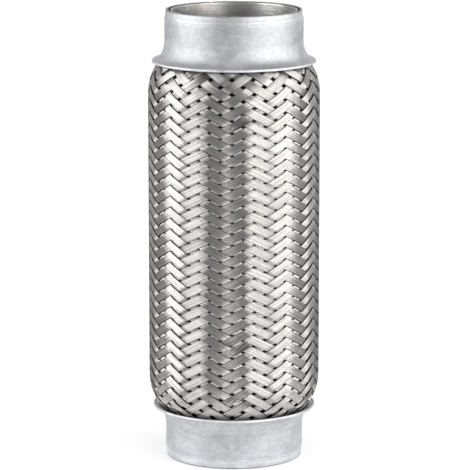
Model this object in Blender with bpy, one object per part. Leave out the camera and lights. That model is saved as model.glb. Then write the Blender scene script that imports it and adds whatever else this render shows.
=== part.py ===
"""Exhaust flex pipe: a braided bellows between two pressed end caps, standing on one end.

Metres, +Z up, the pipe's axis on Z and its lower rim on Z = 0. From the bore outwards the neck is
built up as on the real pipe: inner ring, bellows cuff, braid end, end cap. Between the necks the
bellows folds out, and the braid swells over it to the body's size.
"""

import math

import bpy
import numpy as np

# Driving dimensions of the whole pipe
OVERALL_LENGTH = 0.200
BORE_DIAMETER = 0.0546
SEAT_GAP = 0.0003

# Pressed end caps: neck, flare and turned-down lip
CAP_WALL = 0.0010
NECK_LENGTH = 0.0133
FLARE_HEIGHT = 0.0086
SKIRT_HEIGHT = 0.0015
LIP_REACH = 0.00565
LIP_BEND = 0.0010
RIM_TAPER = 0.0005
RIM_TAPER_HEIGHT = 0.0035

# Inner rings that line the necks
RING_WALL = 0.0006
RING_LENGTH = 0.0200
RING_RECESS = 0.0003

# Braid of flat wire ribbons
CARRIERS = 48
BRAID_BULGE = 0.00742
SHOULDER_LENGTH = 0.0156
MOUTH_GAP = 0.00185
MOUTH_SLOPE = 0.80
RIBBON_RISE = 0.00055
BRAID_WALL = 0.0005
TAIL_WALL = 0.0004
TAIL_RECESS = 0.0008
RIBBON_ANGLE = math.radians(63.7)
ROW_GROWTH = 0.046
ROW_DRIFT = 0.010
WEAVE_LIFT = 0.0017
WEAVE_TURN = math.radians(-1.44)
GAP_MARGIN = 0.0025
GAP_OPENING = 0.17

# Bellows
BELLOWS_WALL = 0.0003
CUFF_RECESS = 0.0045
CONVOLUTIONS = 12
BELLOWS_CLEARANCE = 0.0006
CONVOLUTION_START = 0.0047

# Points around the axis: the coarse ring takes every second place of the fine one
FINE = CARRIERS
COARSE = CARRIERS // 2

# Radii, built up from the bore through the neck
BORE_RADIUS = BORE_DIAMETER / 2
RING_OUTER = BORE_RADIUS + RING_WALL
CUFF_INNER = RING_OUTER + SEAT_GAP
CUFF_OUTER = CUFF_INNER + BELLOWS_WALL
TAIL_INNER = CUFF_OUTER + SEAT_GAP
TAIL_OUTER = TAIL_INNER + TAIL_WALL
CAP_INNER = TAIL_OUTER + SEAT_GAP
NECK_RADIUS = CAP_INNER + CAP_WALL
LIP_RADIUS = NECK_RADIUS + LIP_REACH
BODY_RADIUS = NECK_RADIUS + BRAID_BULGE
CREST_RADIUS = BODY_RADIUS - RIBBON_RISE - BRAID_WALL - BELLOWS_CLEARANCE

# Distances from an end, along the axis
CAP_HEIGHT = NECK_LENGTH + FLARE_HEIGHT + SKIRT_HEIGHT
THROAT = NECK_LENGTH + FLARE_HEIGHT / 2
BODY_START = CAP_HEIGHT + SHOULDER_LENGTH
BELLOWS_START = CAP_HEIGHT + CONVOLUTION_START


def material(name, colour, roughness):
    """A bare metal of one colour."""
    metal = bpy.data.materials.new(name)
    metal.use_nodes = True
    shader = metal.node_tree.nodes["Principled BSDF"]
    shader.inputs["Base Color"].default_value = (*colour, 1.0)
    shader.inputs["Metallic"].default_value = 1.0
    shader.inputs["Roughness"].default_value = roughness
    return metal


def add_piece(name, points, faces, metal, sharpest=30):
    """Puts one closed mesh in the scene, shaded smooth across bends up to this many degrees."""
    mesh = bpy.data.meshes.new(name)
    mesh.from_pydata([tuple(point) for point in points], [], faces)
    mesh.materials.append(metal)
    mesh.shade_smooth()
    mesh.set_sharp_from_angle(angle=math.radians(sharpest))
    mesh.validate()
    piece = bpy.data.objects.new(name, mesh)
    bpy.context.scene.collection.objects.link(piece)
    return piece


def place(column, radius, height):
    """The point of a weave column (a fraction is allowed) at this radius and height."""
    turn = WEAVE_TURN + column * 2 * math.pi / FINE
    return (radius * math.sin(turn), -radius * math.cos(turn), height)


def ring_columns(count):
    """The weave columns that a ring of this many points stands on."""
    return range(0, FINE, FINE // count)


def join_rings(lower, upper):
    """Faces between two rings of points, of equal count or one with twice the other's."""
    faces = []
    if len(lower) == len(upper):
        for k in range(len(lower)):
            after = (k + 1) % len(lower)
            faces.append((lower[k], lower[after], upper[after], upper[k]))
        return faces
    few, many = (lower, upper) if len(lower) < len(upper) else (upper, lower)
    for k in range(len(few)):
        after = (k + 1) % len(few)
        first, middle, last = many[2 * k], many[2 * k + 1], many[2 * after]
        fan = [
            (few[k], middle, first),
            (few[k], few[after], middle),
            (few[after], last, middle),
        ]
        if few is upper:
            fan = [face[::-1] for face in fan]
        faces.extend(fan)
    return faces


def turned(profile):
    """Turns a closed section about the axis. Each profile point is (radius, height, points
    around), and the section runs up its inner side and down its outer side seen at +X."""
    points = []
    rings = []
    for radius, height, count in profile:
        rings.append(range(len(points), len(points) + count))
        points.extend(place(column, radius, height) for column in ring_columns(count))
    faces = []
    for number, ring in enumerate(rings):
        faces.extend(join_rings(rings[(number + 1) % len(rings)], ring))
    return points, faces


def flip(profile):
    """The same section at the other end of the pipe."""
    return [(radius, OVERALL_LENGTH - height, count) for radius, height, count in profile][::-1]


def flare_point(turn, inset):
    """A point of the cap's flare: a quarter ellipse from the neck (turn 0) out to the lip, or the
    point this far inside it, square to the sheet. Heights count from the pipe's end."""
    reach = LIP_REACH - LIP_BEND
    radius = NECK_RADIUS + reach * (1 - math.cos(turn))
    height = NECK_LENGTH + FLARE_HEIGHT * math.sin(turn)
    along = np.array((reach * math.sin(turn), FLARE_HEIGHT * math.cos(turn)))
    along /= np.linalg.norm(along)
    return radius - inset * along[1], height + inset * along[0]


def bend_point(turn):
    """A point of the outside of the lip's bend, from the flare (turn 0) down to the skirt."""
    radius = LIP_RADIUS - LIP_BEND * (1 - math.sin(turn))
    height = NECK_LENGTH + FLARE_HEIGHT + LIP_BEND * (1 - math.cos(turn))
    return radius, height


def cap_section():
    """The lower cap's section: a sheet that goes down the neck, out in the flare and up the lip."""
    outer = [(NECK_RADIUS - RIM_TAPER, 0.0), (NECK_RADIUS, RIM_TAPER_HEIGHT), (NECK_RADIUS, NECK_LENGTH)]
    outer += [flare_point(math.radians(turn), 0.0) for turn in (28, 52, 74)]
    outer += [bend_point(math.radians(turn)) for turn in (25, 90)]
    outer += [(LIP_RADIUS, CAP_HEIGHT)]
    inner = [(CAP_INNER - RIM_TAPER, 0.0), (CAP_INNER, RIM_TAPER_HEIGHT), (CAP_INNER, NECK_LENGTH)]
    inner += [flare_point(math.radians(turn), CAP_WALL) for turn in (34, 62)]
    inner += [(LIP_RADIUS - CAP_WALL, NECK_LENGTH + FLARE_HEIGHT + LIP_BEND)]
    inner += [(LIP_RADIUS - CAP_WALL, CAP_HEIGHT)]
    up_the_inside = [(radius, height, COARSE) for radius, height in inner]
    down_the_outside = [(radius, height, FINE) for radius, height in outer[::-1]]
    return up_the_inside + down_the_outside


def ring_section():
    """The lower inner ring's section."""
    low = RING_RECESS
    high = RING_RECESS + RING_LENGTH
    return [
        (BORE_RADIUS, low, FINE),
        (BORE_RADIUS, high, FINE),
        (RING_OUTER, high, COARSE),
        (RING_OUTER, low, COARSE),
    ]


def bellows_section():
    """Plain cuffs in the necks and sharp folded convolutions between them."""
    pitch = (OVERALL_LENGTH - 2 * BELLOWS_START) / CONVOLUTIONS
    middle = [(CUFF_OUTER, CUFF_RECESS), (CUFF_OUTER, BELLOWS_START)]
    for number in range(CONVOLUTIONS):
        foot = BELLOWS_START + number * pitch
        middle.append((CREST_RADIUS, foot + pitch / 2))
        middle.append((CUFF_OUTER, foot + pitch))
    middle.append((CUFF_OUTER, OVERALL_LENGTH - CUFF_RECESS))
    outside = [(radius, height, COARSE) for radius, height in middle]
    inside = [(radius - BELLOWS_WALL, height, COARSE) for radius, height in middle]
    return inside + outside[::-1]


def blend_curve(share, first, last, first_slope, last_slope):
    """A cubic from first to last, with these slopes at its ends, at a share 0 to 1 of its way."""
    square = share * share
    cube = square * share
    rise = 3 * square - 2 * cube
    return (
        first * (1 - rise)
        + last * rise
        + first_slope * (cube - 2 * square + share)
        + last_slope * (cube - square)
    )


def crest_radius(height):
    """The braid's outer radius at this height: it leaves the neck inside the cap, passes the lip
    with room to spare and swells to the body, alike at both ends."""
    depth = min(height, OVERALL_LENGTH - height)
    mouth = LIP_RADIUS - CAP_WALL - MOUTH_GAP
    if depth <= THROAT:
        return TAIL_OUTER
    if depth <= CAP_HEIGHT:
        length = CAP_HEIGHT - THROAT
        share = (depth - THROAT) / length
        return blend_curve(share, TAIL_OUTER, mouth, 0.0, MOUTH_SLOPE * length)
    if depth <= BODY_START:
        share = (depth - CAP_HEIGHT) / SHOULDER_LENGTH
        return blend_curve(share, mouth, BODY_RADIUS, MOUTH_SLOPE * SHOULDER_LENGTH, 0.0)
    return BODY_RADIUS


def swell(height):
    """0 in the neck, 1 on the body."""
    return (crest_radius(height) - TAIL_OUTER) / (BODY_RADIUS - TAIL_OUTER)


def gap_radius(height):
    """The radius at the bottom of the valleys between ribbons."""
    return crest_radius(height) - RIBBON_RISE * swell(height)


def inner_radius(height):
    """The radius of the braid's inner wall."""
    return gap_radius(height) - TAIL_WALL - (BRAID_WALL - TAIL_WALL) * swell(height)


def row_step(height):
    """How far one row lies from the next, measured along the braid. The crossings of two ribbons
    keep their distance, so the rows draw apart where the braid narrows, a little more where it
    was stretched into the caps, and they lie a little closer in the upper half."""
    side = math.pi * BODY_RADIUS / (FINE / 2) / math.sin(RIBBON_ANGLE)
    off_middle = (height - OVERALL_LENGTH / 2) / (OVERALL_LENGTH / 2 - CAP_HEIGHT)
    near_end = off_middle**4
    side *= 1 + ROW_GROWTH * near_end - ROW_DRIFT * off_middle * (1 - near_end)
    across = math.pi * crest_radius(height) / (FINE / 2)
    return math.sqrt(side**2 - across**2)


def weave_rows():
    """Heights of the weave's rows by row number, row 0 near the middle of the pipe."""
    rows = {0: OVERALL_LENGTH / 2 + WEAVE_LIFT}
    for way in (1, -1):
        number = 0
        depth = OVERALL_LENGTH / 2
        while depth > CAP_HEIGHT:
            height = rows[number]
            nudge = 1e-5
            slope = (crest_radius(height + way * nudge) - crest_radius(height)) / nudge
            number += way
            rows[number] = height + way * row_step(height) / math.hypot(1.0, slope)
            depth = min(rows[number], OVERALL_LENGTH - rows[number])
    return rows


class Braid:
    """Builds the braid's mesh. Crossing points stand on a lattice of columns and rows: a gap where
    column + row is even, the middle of a crossing where it is odd."""

    def __init__(self):
        self.rows = weave_rows()
        self.top = max(self.rows)
        self.bottom = min(self.rows)
        self.points = []
        self.faces = []
        self.known = {}
        clear = [row for row in self.rows if row % 2 == 0 and self.lip_distance(row) > GAP_MARGIN]
        self.open_rows = (min(clear), max(clear))

    def lip_distance(self, row):
        """How far a row lies beyond the nearer cap's lip, towards the middle."""
        return min(self.rows[row], OVERALL_LENGTH - self.rows[row]) - CAP_HEIGHT

    def height(self, row):
        """The height of a row, or of a place between two rows."""
        below = math.floor(row)
        if below == row:
            return self.rows[below]
        share = row - below
        return self.rows[below] * (1 - share) + self.rows[below + 1] * share

    def point(self, column, row, kind):
        """The number of this point: a gap's or crown's on the outside, or one of the inner wall."""
        key = (column % FINE, row, kind)
        if key not in self.known:
            height = self.height(row)
            radius = {"gap": gap_radius, "crown": crest_radius, "inner": inner_radius}[kind](height)
            self.known[key] = len(self.points)
            self.points.append(place(column, radius, height))
        return self.known[key]

    def is_open(self, column, row):
        return row in self.open_rows and (column + row) % 2 == 0

    def corner(self, column, row, towards):
        """The points of one gap on the side of a crossing: the gap itself, or two corners of its
        opening. The side is (1, 0) for a crossing to the right, (0, 1) for one above, and so on."""
        if not self.is_open(column, row):
            return [self.point(column, row, "gap")]
        ahead = np.array(towards)
        left = np.array((-ahead[1], ahead[0]))
        pair = [GAP_OPENING * (ahead + left), GAP_OPENING * (ahead - left)]
        return [self.point(column + across, row + up, "gap") for across, up in pair]

    def crossing(self, column, row):
        """The outline of one crossing, counter-clockwise from outside: right, top, left, bottom."""
        outline = []
        for across, up in ((1, 0), (0, 1), (-1, 0), (0, -1)):
            outline += self.corner(column + across, row + up, (-across, -up))
        return outline

    def add_float(self, crossings):
        """One ribbon's float over one or two crossings, as slopes up to its crown."""
        outlines = [self.crossing(column, row) for column, row in crossings]
        shared = set(outlines[0]) & set(outlines[1]) if len(outlines) == 2 else set()
        column = sum(crossing[0] for crossing in crossings) / len(crossings)
        row = sum(crossing[1] for crossing in crossings) / len(crossings)
        crown = self.point(column, row, "crown")
        for outline in outlines:
            for first, second in zip(outline, outline[1:] + outline[:1]):
                if not (first in shared and second in shared):
                    self.faces.append((crown, first, second))

    def add_floats(self):
        """Ribbons rise to the right over columns 0 and 1 of every four, and fall over 2 and 3."""
        last = self.top - 1
        first = self.bottom + 1
        for column in range(0, FINE, 2):
            lean = 1 if column % 4 == 0 else -1
            for row in range(first - 1, last + 2):
                pair = [(column, row), (column + 1, row + lean)]
                if (column + row) % 2 == 0:
                    continue
                inside = [crossing for crossing in pair if first <= crossing[1] <= last]
                if inside:
                    self.add_float(inside)

    def end_ring(self, row):
        """The ring of points that closes the weave at its last row."""
        return [self.point(column, row, "gap") for column in range(FINE)]

    def add_half_crossings(self, row, inward):
        """Closes the zigzag of the last crossings up to the straight last row."""
        for column in range(FINE):
            if (column + row) % 2:
                outline = self.corner(column + inward, row, (-inward, 0))
                outline += self.corner(column, row + inward, (0, -inward))
                outline += self.corner(column - inward, row, (inward, 0))
                middle = self.point(column, row, "gap")
                self.faces.extend((middle, *side) for side in zip(outline, outline[1:]))

    def plain_ring(self, radius, height):
        """A coarse ring of points away from the weave."""
        start = len(self.points)
        self.points.extend(place(column, radius, height) for column in ring_columns(COARSE))
        return list(range(start, start + COARSE))

    def add_inner_gaps(self, row, below, above):
        """The inner wall about a row of open gaps, and the walls of the gaps themselves."""
        size = GAP_OPENING
        for number, column in enumerate(ring_columns(COARSE)):
            after = (number + 1) % COARSE
            corners = {}
            for name, across, up in (("ne", 1, 1), ("nw", -1, 1), ("sw", -1, -1), ("se", 1, -1)):
                corners[name] = (
                    self.point(column + across * size, row + up * size, "inner"),
                    self.point(column + across * size, row + up * size, "gap"),
                )
            west_next = [
                self.point(column + 2 - size, row + up * size, "inner") for up in (-1, 1)
            ]
            ne, nw, sw, se = (corners[name][0] for name in ("ne", "nw", "sw", "se"))
            wall = [
                (below[number], below[after], west_next[0], se),
                (below[number], se, sw),
                (se, west_next[0], west_next[1], ne),
                (ne, west_next[1], above[after], above[number]),
                (nw, ne, above[number]),
            ]
            self.faces.extend(face[::-1] for face in wall)
            order = ["ne", "nw", "sw", "se"]
            for name, follower in zip(order, order[1:] + order[:1]):
                inner, outer = corners[name]
                inner_after, outer_after = corners[follower]
                self.faces.append((outer, outer_after, inner_after, inner))

    def add_inside(self, end_low, end_high):
        """The inner wall, from the lower tail's end up to the upper tail's end."""
        waist = (THROAT + CAP_HEIGHT) / 2
        ring = end_low
        for depth in (THROAT, waist, CAP_HEIGHT):
            ring = self.inside_step(ring, depth)
        ring = self.open_step(ring, self.open_rows[0], BODY_START)
        ring = self.inside_step(ring, OVERALL_LENGTH - BODY_START)
        ring = self.open_step(ring, self.open_rows[1], OVERALL_LENGTH - CAP_HEIGHT)
        for depth in (waist, THROAT):
            ring = self.inside_step(ring, OVERALL_LENGTH - depth)
        self.faces.extend(face[::-1] for face in join_rings(ring, end_high))

    def inside_step(self, ring, height):
        """Carries the inner wall up to this height, and gives the new ring."""
        following = self.plain_ring(inner_radius(height), height)
        self.faces.extend(face[::-1] for face in join_rings(ring, following))
        return following

    def open_step(self, ring, row, height):
        """Carries the inner wall past a row of open gaps, and gives the new ring."""
        following = self.plain_ring(inner_radius(height), height)
        self.add_inner_gaps(row, ring, following)
        return following

    def add_tail(self, row, way):
        """The plain end in the neck: from the last row to the tail's edge, inside and out."""
        end = OVERALL_LENGTH if way > 0 else 0.0
        last = self.end_ring(row)
        halfway = (self.height(row) + end - way * THROAT) / 2
        waist = self.plain_ring(crest_radius(halfway), halfway)
        throat = self.plain_ring(TAIL_OUTER, end - way * THROAT)
        bend = self.plain_ring(TAIL_OUTER, end - way * RIM_TAPER_HEIGHT)
        drawn_in = RIM_TAPER * (1 - TAIL_RECESS / RIM_TAPER_HEIGHT)
        edge = self.plain_ring(TAIL_OUTER - drawn_in, end - way * TAIL_RECESS)
        inner_edge = self.plain_ring(TAIL_INNER - drawn_in, end - way * TAIL_RECESS)
        inner_bend = self.plain_ring(TAIL_INNER, end - way * RIM_TAPER_HEIGHT)
        rings = [last, waist, throat, bend, edge, inner_edge, inner_bend]
        for lower, upper in zip(rings, rings[1:]):
            faces = join_rings(lower, upper)
            self.faces.extend(faces if way > 0 else [face[::-1] for face in faces])
        return inner_bend

    def build(self):
        self.add_floats()
        self.add_half_crossings(self.top, -1)
        self.add_half_crossings(self.bottom, 1)
        end_high = self.add_tail(self.top, 1)
        end_low = self.add_tail(self.bottom, -1)
        self.add_inside(end_low, end_high)
        return self.points, self.faces


def main():
    for old in list(bpy.data.objects):
        bpy.data.objects.remove(old)
    cap_steel = material("pressed cap steel", (0.66, 0.67, 0.69), 0.38)
    ring_steel = material("inner ring steel", (0.60, 0.60, 0.60), 0.32)
    wire_steel = material("braid wire steel", (0.56, 0.54, 0.51), 0.34)
    bellows_steel = material("bellows steel", (0.50, 0.49, 0.47), 0.30)
    add_piece("lower_end_cap", *turned(cap_section()), cap_steel)
    add_piece("upper_end_cap", *turned(flip(cap_section())), cap_steel)
    add_piece("lower_inner_ring", *turned(ring_section()), ring_steel)
    add_piece("upper_inner_ring", *turned(flip(ring_section())), ring_steel)
    add_piece("bellows", *turned(bellows_section()), bellows_steel)
    add_piece("outer_braid", *Braid().build(), wire_steel, sharpest=8)


main()
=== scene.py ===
"""Exhaust flex pipe: the finished surfaces, metals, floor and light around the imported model."""

import math

import bpy
import numpy as np
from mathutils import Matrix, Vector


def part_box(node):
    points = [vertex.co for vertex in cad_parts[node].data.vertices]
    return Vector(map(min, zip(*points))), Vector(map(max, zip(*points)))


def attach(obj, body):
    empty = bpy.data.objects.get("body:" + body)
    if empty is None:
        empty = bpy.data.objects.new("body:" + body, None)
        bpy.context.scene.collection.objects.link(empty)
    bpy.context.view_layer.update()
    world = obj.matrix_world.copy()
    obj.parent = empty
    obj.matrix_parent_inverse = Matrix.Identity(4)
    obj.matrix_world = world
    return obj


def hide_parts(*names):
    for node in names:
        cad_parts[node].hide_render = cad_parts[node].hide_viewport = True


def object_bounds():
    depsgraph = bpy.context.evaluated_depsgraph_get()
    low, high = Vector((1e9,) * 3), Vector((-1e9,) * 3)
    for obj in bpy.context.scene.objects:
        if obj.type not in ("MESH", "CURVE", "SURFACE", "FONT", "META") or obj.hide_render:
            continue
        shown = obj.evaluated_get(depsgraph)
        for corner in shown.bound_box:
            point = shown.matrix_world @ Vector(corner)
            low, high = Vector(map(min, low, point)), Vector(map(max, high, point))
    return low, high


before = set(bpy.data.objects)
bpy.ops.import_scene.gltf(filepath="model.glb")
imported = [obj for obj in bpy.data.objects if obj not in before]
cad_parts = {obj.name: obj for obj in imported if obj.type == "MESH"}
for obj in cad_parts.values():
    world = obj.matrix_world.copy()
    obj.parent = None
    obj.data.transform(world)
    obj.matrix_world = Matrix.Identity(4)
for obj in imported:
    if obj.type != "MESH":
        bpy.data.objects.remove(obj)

bl_info = {
    "name": "Exhaust flex pipe",
    "version": (1, 0, 0),
    "blender": (4, 5, 0),
    "location": "3D View > Sidebar > Flex Pipe",
    "description": "Builds the braid, end caps, rings and bellows of a flexible exhaust pipe",
    "category": "Add Mesh",
}

CAD_BOX = [list(corner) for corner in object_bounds()]
CAP_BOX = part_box("lower_end_cap")
RING_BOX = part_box("lower_inner_ring")
BRAID_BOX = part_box("outer_braid")

# Lattice of the weave, counted in columns round the pipe and rows along it
COLUMNS = 48
COLUMN_TURN = 2 * math.pi / COLUMNS
STEPS_PER_ROW = 4

# How the rows of the weave lie, as in the solid braid
BODY_RIBBON_ANGLE = math.radians(63.7)
ROW_GROWTH = 0.046
ROW_DRIFT = 0.010
UPPER_GROWTH = 0.024
UPPER_PLACE = 0.82
UPPER_REACH = 0.14
WEAVE_LIFT = 0.0017
WEAVE_TURN = math.radians(-1.44)

# A ribbon's section: the power of its crown, and how far out its underside reaches
CROWN_POWER = 8
UNDER_REACH = 0.86

# How soon a ribbon has its full relief as the braid widens, and what is left in the necks
SWELL_GAIN = 2.3
CRIMPED_RELIEF = 0.25

# How ribbons change along their length, and the range of tones of ribbons and of wires
WIDTH_CHANGE = 0.045
LIFT_CHANGE = 0.00004
RIBBON_TONES = (0.94, 1.06)
WIRE_TONES = (0.80, 1.08)

# How much of a crossing a ribbon stays on top for
OVER_BIAS = 0.08

# Painted shade in the grooves between wires and on a ribbon's outer wires, from 0 to 1
GROOVE_SHADE = 0.55
EDGE_SHADE = 0.28

# How a ribbon's tone runs from foot to top, and how it darkens towards its cut ends
TONE_HEIGHTS = (0.030, 0.060, 0.150, 0.166)
TONE_LEVELS = (1.10, 1.04, 1.0, 0.90)
END_HEIGHTS = (0.001, 0.004)
END_LEVELS = (0.25, 1.0)

# Places where a ribbon's wires have come loose: rises to the right or not, angle, height
LOOSE_PLACES = (
    (True, 2.3, 0.1552), (True, 2.3, 0.0568), (True, 2.3, 0.0328), (True, -27.7, 0.1754),
    (True, 152.3, 0.0900), (False, -117.7, 0.1310), (False, 92.3, 0.0620),
)

# How far round a loose place the ribbon drops, and how much painted shade darkens it there
LOOSE_REACH = 0.0090
LOOSE_HEIGHT = 0.0028
LOOSE_SHADE = 0.62

# Loose wires: where they cross the ribbon's middle, how many columns they run to each side, how
# deep their ends dive, how steeply they cross, how far they stray, their tone, and the mesh
LOOSE_OFFSETS = (-0.50, -0.15, 0.12, 0.48)
LOOSE_SPAN = 1.1
LOOSE_DIVE = 0.0005
LOOSE_TILTS = (0.24, 0.50)
LOOSE_STRAY = 0.05
LOOSE_TONE = 1.05
LOOSE_POINTS = 17
LOOSE_SIDES = 6

# Small distances of the solid model, in metres
SEAT = 0.0003
CUFF_WALL = 0.0003
CUFF_RECESS = 0.0045
TAIL_RECESS = 0.0008
MOUTH_GAP = 0.00185
MOUTH_SLOPE = 0.80
SHOULDER = 0.0156
CONVOLUTION_START = 0.0047
BRAID_DEPTH = 0.00165
SKIN = 0.00002

# The bellows' folds, the points of each, and how sharp they are, from 0 to 1
CONVOLUTIONS = 12
FOLD_STEPS = 14
FOLD_SHARPNESS = 0.93

# Marks of wear on the caps and rings, and how far in they fade, in metres
SCUFF_HEIGHT = 0.0152
OUT_OF_ROUND = 0.00004
OUT_OF_ROUND_FADE = 0.004
DENT = 0.00008
RING_OUT_OF_ROUND = 0.00007
RING_CHIP = 0.0001
RING_FADE = 0.006

# How finely the turned pieces are divided round the axis
CAP_ANGLES = 320
RING_ANGLES = 256
BELLOWS_ANGLES = 96

# Heights of the floor, the studio's mats and the pale strip, in metres
FLOOR_LEVEL = -0.0001
MAT_LEVEL = 0.0004
STRIP_LEVEL = 0.0006

# How far apart ribbons, and loose wires, lie on their map, in metres
RIBBON_MAP_GAP = 0.010
WIRE_MAP_GAP = 0.013


def metres(name, description, default, low=0.0, high=1.0):
    """A length that a user may change."""
    return bpy.props.FloatProperty(
        name=name, description=description, default=default, min=low, max=high,
        precision=5, subtype="DISTANCE", unit="LENGTH",
    )


def share(name, description, default, low=0.0, high=1.0):
    """A plain number that a user may change."""
    return bpy.props.FloatProperty(
        name=name, description=description, default=default, min=low, max=high, precision=3
    )


def whole(name, description, default, low, high):
    """A count that a user may change."""
    return bpy.props.IntProperty(
        name=name, description=description, default=default, min=low, max=high
    )


def tint(name, description, default):
    """A linear colour that a user may change."""
    return bpy.props.FloatVectorProperty(
        name=name, description=description, default=default, size=3, min=0.0, max=1.0,
        subtype="COLOR",
    )


class PipeSizes(bpy.types.PropertyGroup):
    """Sizes of the pipe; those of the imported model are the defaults."""

    length: metres("Length", "From rim to rim", CAD_BOX[1][2] - CAD_BOX[0][2])
    braid_radius: metres("Braid radius", "Outside of the braid at its body", BRAID_BOX[1][0])
    bore_radius: metres("Bore radius", "Inside of the inner rings", 0.0273)
    ring_radius: metres("Ring radius", "Outside of the inner rings", RING_BOX[1][0])
    ring_depth: metres("Ring depth", "How far the inner rings reach in", RING_BOX[1][2])
    ring_recess: metres("Ring recess", "From the rim to the ring's edge", RING_BOX[0][2])
    lip_radius: metres("Lip radius", "Outside of the caps' lips", CAP_BOX[1][0])
    cap_height: metres("Cap height", "From the rim to the lip's edge", CAP_BOX[1][2])
    neck_radius: metres("Neck radius", "Outside of the caps' necks", 0.0305)
    neck_length: metres("Neck length", "From the rim to the flare", 0.0133)
    flare_height: metres("Flare height", "From the neck to the lip's bend", 0.0086)
    lip_bend: metres("Lip bend", "Radius of the bend at the lip", 0.0010)
    cap_wall: metres("Cap wall", "Thickness of the caps' sheet", 0.0010)
    rim_taper: metres("Rim taper", "How far the rims are drawn in", 0.0005)
    taper_height: metres("Taper height", "How tall the drawn-in band is", 0.0040)
    rim_wave: metres("Rim wave", "How far the cut edge of a rim wanders", 0.00012)


class WeaveSizes(bpy.types.PropertyGroup):
    """Sizes of the braid's ribbons and wires."""

    ribbon_width: metres("Ribbon width", "Across the wires of one ribbon", 0.00356)
    ribbon_wall: metres("Ribbon thickness", "Thickness of one ribbon on the body", 0.00033)
    tail_wall: metres("Crimped thickness", "Thickness of one ribbon in the necks", 0.00017)
    wires: whole("Wires", "Wires side by side in one ribbon", 9, 3, 16)
    wire_groove: metres("Groove", "Depth of the grooves between wires", 0.00013)
    crown: metres("Crown", "How far a ribbon's edges fall below its middle", 0.00006)
    climb: metres("Climb", "How far a ribbon rises and dips in the weave", 0.00026)
    tail_climb: metres("Crimped climb", "The same in the necks", 0.00009)
    loose_drop: metres("Loose drop", "How far a ribbon lies below its loose wires", 0.00028)
    loose_wire: metres("Loose wire", "Thickness of a loose wire", 0.00024)
    snap: share("Snap", "How quickly a ribbon dives between two others", 5.5, 1.0, 8.0)
    splay: share("Splay", "How far wires spread where ribbons part, at the upper end", 0.40)
    wander: metres("Wander", "How far a ribbon strays sideways", 0.00014)
    seed: whole("Seed", "Number that the small differences grow from", 11, 0, 999)


class PipeFinish(bpy.types.PropertyGroup):
    """Colours and roughness of the metals."""

    wire_colour: tint("Wire", "Drawn wire of the braid", (0.78, 0.75, 0.727))
    wire_roughness: share("Wire roughness", "Roughness of the braid's wires", 0.09)
    cap_colour: tint("Caps", "Pressed steel of the end caps", (0.615, 0.62, 0.642))
    cap_roughness: share("Cap roughness", "Roughness of the end caps", 0.55)
    ring_colour: tint("Rings", "Steel of the inner rings", (0.76, 0.76, 0.75))
    ring_roughness: share("Ring roughness", "Roughness of the inner rings", 0.21)
    stain_colour: tint("Stains", "Heat and oil stains", (0.30, 0.23, 0.15))
    # Far darker than rolled steel: painted shade under the braid, seen through its gaps
    shaded_bellows_colour: tint("Bellows", "Rolled steel of the bellows", (0.15, 0.145, 0.14))


class StudioSizes(bpy.types.PropertyGroup):
    """Floor, light and camera."""

    floor_colour: tint("Floor", "Floor and backdrop", (0.985, 0.985, 0.985))
    world_strength: share("Surrounding light", "Strength of the white surroundings", 1.0, 0.0, 4.0)
    box_radiance: share("Light boxes", "Brightness of the two light boxes", 1.66, 0.0, 10.0)
    card_shade: share("Front cards", "Shade of the cards that stand before the pipe", 0.24)
    front_shade: share("Front mat", "Shade of the mat between these cards and the pipe", 0.27)
    strip_shade: share("Strip", "Shade of the pale strip that lies on the front mat", 0.95)
    mat_shade: share("Side mats", "Shade of the mats that lie before the light boxes", 0.31)
    rear_shade: share("Rear mats", "Shade of the mats that lie before the flags", 0.26)
    left_flag: share("Left flag", "Shade of the card behind the pipe on the left", 0.40)
    right_flag: share("Right flag", "Shade of the card behind the pipe on the right", 0.50)
    ceiling_shade: share("Ceiling", "Shade of the card above the pipe", 0.38)
    camera_place: bpy.props.FloatVectorProperty(
        name="Camera place", description="Where the camera stands", size=3,
        default=(0.00044, -1.3095, 0.3525), subtype="TRANSLATION", unit="LENGTH",
    )
    camera_pitch: bpy.props.FloatProperty(
        name="Camera pitch", description="How far the camera looks down",
        default=math.radians(10.95), subtype="ANGLE", unit="ROTATION",
    )
    camera_lens: bpy.props.FloatProperty(
        name="Lens", description="Focal length on a 36 mm sensor, in millimetres",
        default=230.2, min=20.0, max=600.0, subtype="DISTANCE_CAMERA", unit="CAMERA",
    )


# Curves and sections

def blend_curve(way, first, last, first_slope, last_slope):
    """A cubic from first at way w = 0 to last at w = 1 with these slopes there:
    first*(1 - rise) + last*rise + w*(1 - w)*(first slope*(1 - w) - last slope*w), where
    rise = w^2*(3 - 2w)."""
    rise = way * way * (3 - 2 * way)
    lean = way * (1 - way) * (first_slope * (1 - way) - last_slope * way)
    return first * (1 - rise) + last * rise + lean


def soft_noise(angle, rng, waves, highest):
    """Smooth wandering round a circle, about -1 to 1: a sum of sines of random phase whose
    strength falls with the square root of their number of waves."""
    numbers = rng.integers(1, highest, waves)
    phases = rng.uniform(0, 2 * math.pi, waves)
    strength = 1 / np.sqrt(numbers)
    total = np.zeros_like(angle)
    for number, phase, weight in zip(numbers, phases, strength):
        total += weight * np.sin(number * angle + phase)
    return total / strength.sum()


def corner_arc(centre, radius, first, last, count):
    """Points of an arc in a section: centre + radius*(cos, sin) from one angle to another."""
    turn = np.radians(np.linspace(first, last, count))
    return centre + radius * np.column_stack((np.cos(turn), np.sin(turn)))


def upright_line(radius, low, high, count):
    """Points of a line in a section that runs along the pipe."""
    return np.column_stack((np.full(count, radius), np.linspace(low, high, count)))


def unit(vectors):
    """The same directions, one long."""
    return vectors / np.linalg.norm(vectors, axis=1)[:, None]


def around(count):
    """Equal angles round the pipe, from the front."""
    return np.linspace(0, 2 * math.pi, count, endpoint=False)


def turned(section, count):
    """Equal angles round the pipe, and a section's radii and heights at each of them."""
    radii, heights = (np.repeat(part[:, None], count, axis=1) for part in section.T)
    return around(count), radii, heights


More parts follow.
